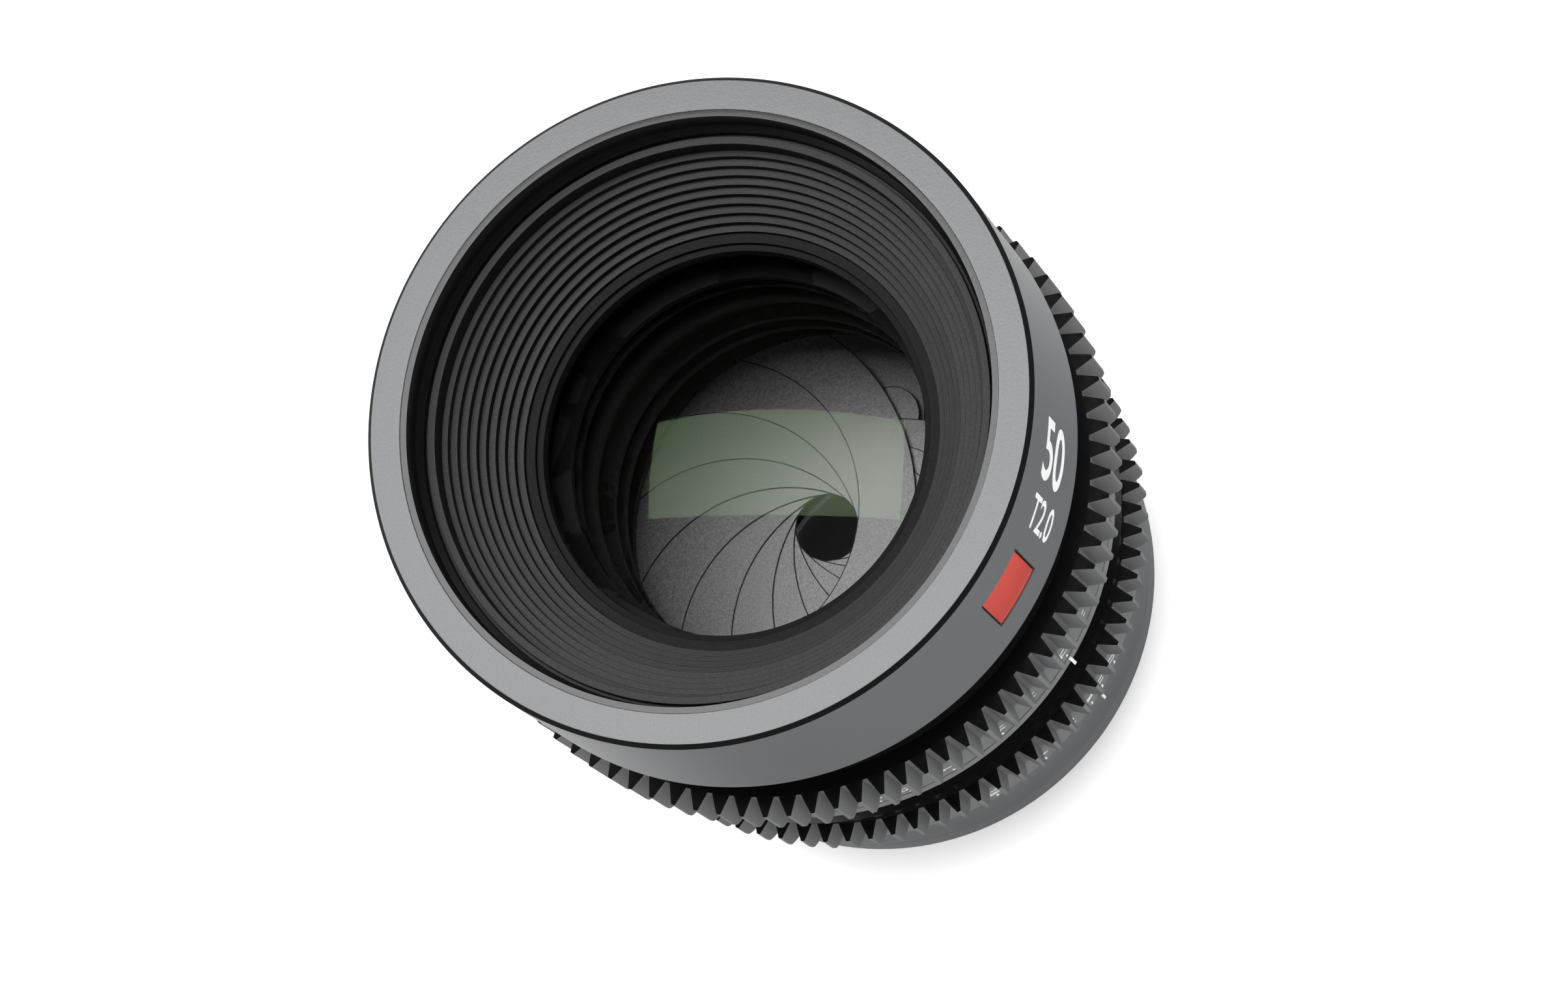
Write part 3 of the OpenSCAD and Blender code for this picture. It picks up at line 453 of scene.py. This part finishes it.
def bevelEdges(bm, edges, width, segments):
    bmesh.ops.bevel(bm, geom=edges, offset=width * mm, offset_type="OFFSET", segments=segments, profile=0.5,
                    affect="EDGES", clamp_overlap=True, material=-1)


def softenEdges(bm, width, segments):
    least = math.radians(crisp["broken"])
    folds = [edge for edge in bm.edges if len(edge.link_faces) == 2 and edge.calc_face_angle() > least]
    bevelEdges(bm, folds, width, segments)


def turnRound(bm, steps):
    bmesh.ops.spin(bm, geom=bm.verts[:] + bm.edges[:], cent=(0, 0, 0), axis=(0, 0, 1), dvec=(0, 0, 0),
                   angle=math.tau, steps=steps, use_merge=True, use_duplicate=False)
    bmesh.ops.remove_doubles(bm, verts=bm.verts, dist=hair / 10)
    bmesh.ops.recalc_face_normals(bm, faces=bm.faces)


# edges of a turned piece at one height, for a rounder edge there
def edgesAt(bm, z):
    return [edge for edge in bm.edges if max(abs(v.co.z - z) for v in edge.verts) < hair]


# turned pieces: re-spun finely from their own section, with broken edges
# blackBevel: how far forward the bevel of the face looks; round: one larger edge, below the top; greyRim: the
# depth of the grey bevel in front of a black piece
surfaces = {}
turnedSegments = 2
turnedPieces = {
    "front_barrel": {"edge": 0.06, "steps": 240, "blackBevel": (0.45, 0.9)},
    "filter_ring": {"edge": 0.03, "steps": 216},
    "stepped_baffle": {"edge": 0.05, "steps": 216},
    "front_retaining_ring": {"edge": 0.05, "steps": 192},
    "neck_ring": {"edge": 0.08, "steps": 216},
    "index_ring": {"edge": 0.06, "steps": 216, "greyRim": 0.56,
                   "round": {"below": 4.15, "width": 0.3, "segments": 5}},
    "rear_barrel": {"edge": 0.08, "steps": 216},
}
for node, look in turnedPieces.items():
    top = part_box(node)[1].z
    bm = sectionOf(node)
    turnRound(bm, look["steps"])
    if "round" in look:
        edges = edgesAt(bm, top - look["round"]["below"] * mm)
        bevelEdges(bm, edges, look["round"]["width"], look["round"]["segments"])
    softenEdges(bm, look["edge"], turnedSegments)
    for face in bm.faces:
        middle = face.calc_center_median()
        if "greyRim" in look:
            face.material_index = int(middle.z > top - look["greyRim"] * mm)
        elif "blackBevel" in look:
            least, most = look["blackBevel"]
            outside = face.normal.xy.dot(middle.xy) > 0
            face.material_index = int(outside and least < face.normal.z < most)
    surfaces[node] = BVHTree.FromBMesh(bm)
    piece = keepPiece(node + "_turned", bm, finishOf[node], bodyOf[node], replaced=[node])
    if "greyRim" in look:
        piece.data.materials.append(finishes["gear"])
    elif "blackBevel" in look:
        piece.data.materials.append(finishes["inner"])
    piece.modifiers.new("evenNormals", "WEIGHTED_NORMAL").keep_sharp = True
    print("turned", node, len(piece.data.polygons), "faces")


# the badge pocket in the front barrel
badge = {
    "gap": 0.25,  # room round the plate
    "below": 0.95,  # from the plate's top to the floor of the pocket
    "reach": 4,  # of the cutter, outwards
    "edge": 0.09,
    "segments": 3,
    "flat": 1,  # degrees within which the plate's faces are joined
}


def cutAway(piece, cutter):
    mesh = bpy.data.meshes.new("cutter")
    cutter.to_mesh(mesh)
    cutter.free()
    knife = bpy.data.objects.new("cutter", mesh)
    scene.collection.objects.link(knife)
    cut = piece.modifiers.new("cut", "BOOLEAN")
    cut.object = knife
    cut.solver = "EXACT"
    bpy.context.view_layer.update()
    shaped = bpy.data.meshes.new_from_object(piece.evaluated_get(bpy.context.evaluated_depsgraph_get()))
    piece.modifiers.remove(cut)
    piece.data = shaped
    bpy.data.objects.remove(knife)


def sinkBadge():
    low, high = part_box("badge_plate")
    room = Vector((badge["gap"], 0, badge["gap"])) * mm
    low, high = low - room, high + room
    floorY = low.y + badge["below"] * mm
    cutter = bmesh.new()
    bmesh.ops.create_cube(cutter, size=1)
    size = Vector((high.x - low.x, badge["reach"] * mm, high.z - low.z))
    bmesh.ops.scale(cutter, verts=cutter.verts, vec=size)
    middle = (0, floorY - badge["reach"] / 2 * mm, (low.z + high.z) / 2)
    bmesh.ops.translate(cutter, verts=cutter.verts, vec=middle)
    barrel = bpy.data.objects["front_barrel_turned"]
    barrel.modifiers.clear()
    cutAway(barrel, cutter)
    barrel.modifiers.new("evenNormals", "WEIGHTED_NORMAL").keep_sharp = True
    plate = copyOf("badge_plate")
    joined = math.radians(badge["flat"])
    bmesh.ops.dissolve_limit(plate, angle_limit=joined, verts=plate.verts, edges=plate.edges)
    softenEdges(plate, badge["edge"], badge["segments"])
    keepPiece("badge_plate_enamel", plate, "badge", bodyOf["badge_plate"], replaced=["badge_plate"])


sinkBadge()
print("badge sunk in its pocket")


# follow gears: the CAD teeth with broken edges, with painted shadow in black on the faces that look forward
gears = {"edge": 0.05, "segments": 1, "paintedShadowFacing": 0.6}
for node in slotNodes["gear"]:
    bm = copyOf(node)
    softenEdges(bm, gears["edge"], gears["segments"])
    surfaces[node] = BVHTree.FromBMesh(bm)
    for face in bm.faces:
        # painted shadow: faces that look forward take the black finish
        face.material_index = int(face.normal.z > gears["paintedShadowFacing"])
    piece = keepPiece(node + "_cut", bm, "gear", bodyOf[node], replaced=[node])
    piece.data.materials.append(finishes["inner"])
    piece.modifiers.new("evenNormals", "WEIGHTED_NORMAL").keep_sharp = True
    print("gear", node, len(piece.data.polygons), "faces")


# printed numbers, wrapped on the metal as a thin film
film = {"sink": 0.01, "proud": 0.014, "cell": 0.14, "wideCell": 0.4, "tickCells": (12, 2)}
weld = {"letters": 1e-5, "cut": 1e-9}  # points this close are one, in a letter's own units and in metres


def lettersOf(words, height, bold):
    curve = bpy.data.curves.new("letters", "FONT")
    curve.body = words
    curve.offset = bold
    holder = bpy.data.objects.new("letters", curve)
    scene.collection.objects.link(holder)
    mesh = bpy.data.meshes.new_from_object(holder)
    bm = bmesh.new()
    bm.from_mesh(mesh)
    bpy.data.objects.remove(holder)
    bmesh.ops.remove_doubles(bm, verts=bm.verts, dist=weld["letters"])
    xs = [v.co.x for v in bm.verts]
    ys = [v.co.y for v in bm.verts]
    middle = Vector(((min(xs) + max(xs)) / 2, (min(ys) + max(ys)) / 2, 0))
    bmesh.ops.translate(bm, verts=bm.verts, vec=-middle)
    bmesh.ops.scale(bm, verts=bm.verts, vec=Vector((1, 1, 1)) * height * mm / (max(ys) - min(ys)))
    return bm


def gridCut(bm, cell):
    for axis in (Vector((1, 0, 0)), Vector((0, 1, 0))):
        reach = max(abs(v.co.dot(axis)) for v in bm.verts)
        for k in range(-int(reach / cell), int(reach / cell) + 1):
            whole = bm.verts[:] + bm.edges[:] + bm.faces[:]
            bmesh.ops.bisect_plane(bm, geom=whole, dist=weld["cut"], plane_co=axis * k * cell, plane_no=axis)


def outwards(azimuth):
    return Vector((math.cos(azimuth), math.sin(azimuth), 0))


# a mark runs from the front to the rear, with its head round the piece, and drops to the metal
def dropOn(bm, node, azimuth, z):
    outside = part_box(node)[1].x + mm
    middle = math.radians(azimuth)

    def metalAt(angle, height):
        way = outwards(angle)
        return surfaces[node].ray_cast(way * outside + Vector((0, 0, height)), -way)[0]

    radius = metalAt(middle, z * mm).xy.length
    for vert in bm.verts:
        vert.co = metalAt(middle + vert.co.y / radius, z * mm - vert.co.x)


def thicken(bm):
    for vert in bm.verts:
        vert.co -= outwards(math.atan2(vert.co.y, vert.co.x)) * film["sink"] * mm
    raised = bmesh.ops.extrude_face_region(bm, geom=bm.faces[:])["geom"]
    for vert in raised:
        if isinstance(vert, bmesh.types.BMVert):
            vert.co += outwards(math.atan2(vert.co.y, vert.co.x)) * (film["sink"] + film["proud"]) * mm
    bmesh.ops.recalc_face_normals(bm, faces=bm.faces)


def tickOf(long, wide):
    bm = bmesh.new()
    along, across = film["tickCells"]
    bmesh.ops.create_grid(bm, x_segments=along, y_segments=across, size=0.5)
    bmesh.ops.scale(bm, verts=bm.verts, vec=Vector((long, wide, 1)) * mm)
    return bm


def gather(sheet, bm):
    thicken(bm)
    mesh = bpy.data.meshes.new("part")
    bm.to_mesh(mesh)
    bm.free()
    sheet.from_mesh(mesh)
    bpy.data.meshes.remove(mesh)


barrelPrint = [
    {"words": "50", "height": 6.4, "bold": 0.012, "azimuth": -66.5, "z": 71.4},
    {"words": "T2.0", "height": 3.5, "bold": 0.01, "azimuth": -77.2, "z": 71.1},
]
sheet = bmesh.new()
for mark in barrelPrint:
    bm = lettersOf(mark["words"], mark["height"], mark["bold"])
    gridCut(bm, film["wideCell"] * mm)
    dropOn(bm, "front_barrel", mark["azimuth"], mark["z"])
    gather(sheet, bm)
keepPiece("barrel_print", sheet, "print", "barrel")


def printScale(gear, look, turns):
    sheet = bmesh.new()
    for words, turn in turns.items():
        bm = lettersOf(words, look["height"], look["bold"])
        gridCut(bm, film["cell"] * mm)
        dropOn(bm, gear, look["index"] - turn, look["z"])
        gather(sheet, bm)
        bm = tickOf(*look["tick"])
        dropOn(bm, gear, look["index"] - turn, look["tickZ"])
        gather(sheet, bm)
    keepPiece(gear + "_scale", sheet, "print", bodyOf[gear])


# distances round the focus ring: the turn follows the reciprocal of the distance
focusScale = {
    "marks": ["0.6", "0.65", "0.7", "0.75", "0.8", "0.9", "1", "1.1", "1.2", "1.4", "1.6", "2", "2.5", "3",
              "5", "10"],
    "near": 0.6, "halfTurn": 75.0,
    "index": -90.5, "height": 1.7, "bold": 0.02, "z": 39.7, "tick": (1.0, 0.24), "tickZ": 36.8,
}


def distanceTurn(distance):
    return focusScale["halfTurn"] * (1 - 2 * focusScale["near"] / distance)


printScale("focus_ring", focusScale, {words: distanceTurn(float(words)) for words in focusScale["marks"]})

# stops round the iris ring: the turn that brings the blades to each hole
irisScale = {
    "marks": ["2", "2.8", "4", "5.6", "8", "11", "16", "22"],
    "openStop": 2.0, "openHole": 17.5, "pivot": 26.5, "restHole": 3.58, "ringPerBlade": 1.5,
    "index": -90.5, "height": 1.6, "bold": 0.02, "z": 16.9, "tick": (1.1, 0.24), "tickZ": 14.6,
}


def bladeTurn(hole):
    return math.degrees(2 * math.asin((irisScale["openHole"] - hole) / (2 * irisScale["pivot"])))


def stopTurn(stop):
    hole = irisScale["openHole"] * irisScale["openStop"] / stop
    return irisScale["ringPerBlade"] * (bladeTurn(irisScale["restHole"]) - bladeTurn(hole))


printScale("iris_ring", irisScale, {words: stopTurn(float(words)) for words in irisScale["marks"]})

# index lines on the fixed sections behind the two scales
indexLines = {
    "index_ring": {"azimuth": -90.5, "z": 34.4, "long": 2.4, "wide": 0.36},
    "rear_barrel": {"azimuth": -90.5, "z": 12.0, "long": 1.9, "wide": 0.32},
}
sheet = bmesh.new()
for node, mark in indexLines.items():
    bm = tickOf(mark["long"], mark["wide"])
    dropOn(bm, node, mark["azimuth"], mark["z"])
    gather(sheet, bm)
keepPiece("index_lines", sheet, "print", "barrel")
print("numbers and index lines printed")


# iris blades: the CAD blade with a painted shadow line, in black, round the rim of its flat faces
bladeShadowRim = {"width": 0.11, "flat": 0.9, "least": 20, "join": 0.5}  # least in square mm, join in degrees
for node in slotNodes["blade"]:
    bm = copyOf(node)
    bmesh.ops.dissolve_limit(bm, angle_limit=math.radians(bladeShadowRim["join"]), verts=bm.verts, edges=bm.edges)
    flat = [face for face in bm.faces if abs(face.normal.z) > bladeShadowRim["flat"]]
    wide = [face for face in flat if face.calc_area() > bladeShadowRim["least"] * mm * mm]
    for face in wide:
        shadowRim = bmesh.ops.inset_region(bm, faces=[face], thickness=bladeShadowRim["width"] * mm, use_even_offset=True)
        # the inset strips take the black finish: painted shadow
        for strip in shadowRim["faces"]:
            strip.material_index = 1
    piece = keepPiece(node + "_shadow_rimmed", bm, "blade", bodyOf[node], replaced=[node])
    piece.data.materials.append(finishes["bladeRimPaintedShadow"])
print("blades rimmed")


# camera
shot = {
    "lens": 112.94,
    "sensor": 36,
    "clip": 10,
    "azimuth": -102.5,
    "elevation": 68.856,
    "distance": 487.806,
    "aside": (13.394, -0.426),  # the aim point from the middle of the face, towards the camera and across
    "roll": -48.114,
}


def standCamera():
    azimuth = math.radians(shot["azimuth"])
    elevation = math.radians(shot["elevation"])
    roll = math.radians(shot["roll"])
    towards = outwards(azimuth)
    across = Vector((-towards.y, towards.x, 0))
    back = towards * math.cos(elevation) + Vector((0, 0, math.sin(elevation)))
    level = back.cross(across)
    right = across * math.cos(roll) + level * math.sin(roll)
    up = level * math.cos(roll) - across * math.sin(roll)
    aim = Vector((0, 0, frontZ)) + (towards * shot["aside"][0] + across * shot["aside"][1]) * mm
    place = aim + back * shot["distance"] * mm
    data = bpy.data.cameras.new("camera")
    data.lens = shot["lens"]
    data.sensor_width = shot["sensor"]
    data.sensor_fit = "HORIZONTAL"
    data.clip_start = shot["clip"] * mm
    camera = bpy.data.objects.new("camera", data)
    scene.collection.objects.link(camera)
    turn = Matrix((right, up, back)).transposed().to_4x4()
    camera.matrix_world = Matrix.Translation(place) @ turn
    scene.camera = camera


standCamera()
print("camera stands")


# studio: a pale floor that the camera sees white, low surroundings that light the sides, and one softbox
studio = {
    "floorSize": 6000,
    "floorDrop": 0.05,
    "floorRough": 0.9,
    "floorPale": 0.75,
    "floorWhite": 0.85,  # what camera rays see besides the light on the floor
    "paintedShadowRadii": (22, 34),  # radii between which the painted shadow under the lens fades into the floor's white
    "backdrop": {"azimuth": 77.5, "fade": (-30, 25)},  # in mirrors the floor is white only behind the lens
    "ambient": 8.0,  # what matt surfaces get of the surroundings
    "ceiling": 0.03,  # what is left of them overhead
    "horizon": (0.0, 0.22),  # heights between which the white surroundings fade to the ceiling
    "softbox": {"centre": (59, 143, 820), "size": (820, 320), "turn": -62.6, "watts": 5.2},
}


# what the camera sees directly or through glass, and what it sees in mirrors
def raysOf(tree):
    path = tree.nodes.new("ShaderNodeLightPath").outputs
    seen = calc(tree, "MAXIMUM", path["Is Camera Ray"], path["Is Transmission Ray"])
    return seen, path["Is Glossy Ray"]


def layFloor():
    bm = bmesh.new()
    bmesh.ops.create_grid(bm, x_segments=1, y_segments=1, size=studio["floorSize"] / 2 * mm)
    bmesh.ops.translate(bm, verts=bm.verts, vec=(0, 0, cadBox[0].z - studio["floorDrop"] * mm))
    mesh = bpy.data.meshes.new("floor")
    bm.to_mesh(mesh)
    bm.free()
    floor = bpy.data.objects.new("floor", mesh)
    scene.collection.objects.link(floor)
    material, tree, shader = startFinish("paleFloor")
    shader.inputs["Roughness"].default_value = studio["floorRough"]
    shader.inputs["Specular IOR Level"].default_value = 0.0
    seen, mirrored = raysOf(tree)
    pale = blendColours(tree, mirrored, grey(studio["floorPale"]), grey(0.0))
    feed(tree, shader.inputs["Base Color"], pale)
    place = objectPlace(tree)
    away = addNode(tree, "ShaderNodeVectorMath", operation="LENGTH")
    feed(tree, away.inputs[0], place)
    # painted shadow: the white glow is held back near the lens foot
    near, far = studio["paintedShadowRadii"]
    clear = remap(tree, away.outputs["Value"], near * mm, far * mm, 0.0, studio["floorWhite"])
    behind = addNode(tree, "ShaderNodeVectorMath", operation="DOT_PRODUCT")
    feed(tree, behind.inputs[0], place)
    behind.inputs[1].default_value = outwards(math.radians(studio["backdrop"]["azimuth"]))
    near, far = studio["backdrop"]["fade"]
    backdrop = remap(tree, behind.outputs["Value"], near * mm, far * mm, 0.0, 1.0)
    inView = calc(tree, "MULTIPLY", seen, clear)
    inMirrors = calc(tree, "MULTIPLY", mirrored, backdrop)
    glow = addNode(tree, "ShaderNodeEmission")
    feed(tree, glow.inputs["Strength"], calc(tree, "ADD", inView, inMirrors))
    both = addNode(tree, "ShaderNodeAddShader")
    feed(tree, both.inputs[0], shader.outputs[0])
    feed(tree, both.inputs[1], glow.outputs[0])
    feed(tree, tree.nodes["Material Output"].inputs["Surface"], both.outputs[0])
    mesh.materials.append(material)


def lightWorld():
    world = bpy.data.worlds.new("studioWorld")
    scene.world = world
    world.use_nodes = True
    tree = world.node_tree
    shade = tree.nodes["Background"]
    shade.inputs["Color"].default_value = grey(1.0)
    way = addNode(tree, "ShaderNodeSeparateXYZ")
    feed(tree, way.inputs[0], tree.nodes.new("ShaderNodeTexCoord").outputs["Generated"])
    around = remap(tree, way.outputs["Z"], *studio["horizon"], 1.0, studio["ceiling"])
    seen, mirrored = raysOf(tree)
    share = remap(tree, mirrored, 0.0, 1.0, studio["ambient"], 1.0)
    light = calc(tree, "MULTIPLY", around, share)
    feed(tree, shade.inputs["Strength"], calc(tree, "MAXIMUM", seen, light))


def hangSoftbox():
    look = studio["softbox"]
    data = bpy.data.lights.new("softbox", "AREA")
    data.shape = "RECTANGLE"
    data.size = look["size"][0] * mm
    data.size_y = look["size"][1] * mm
    data.energy = look["watts"]
    lamp = bpy.data.objects.new("softbox", data)
    scene.collection.objects.link(lamp)
    turn = Matrix.Rotation(math.radians(look["turn"]), 4, "Z")
    lamp.matrix_world = Matrix.Translation(Vector(look["centre"]) * mm) @ turn


layFloor()
lightWorld()
hangSoftbox()
print("studio ready")
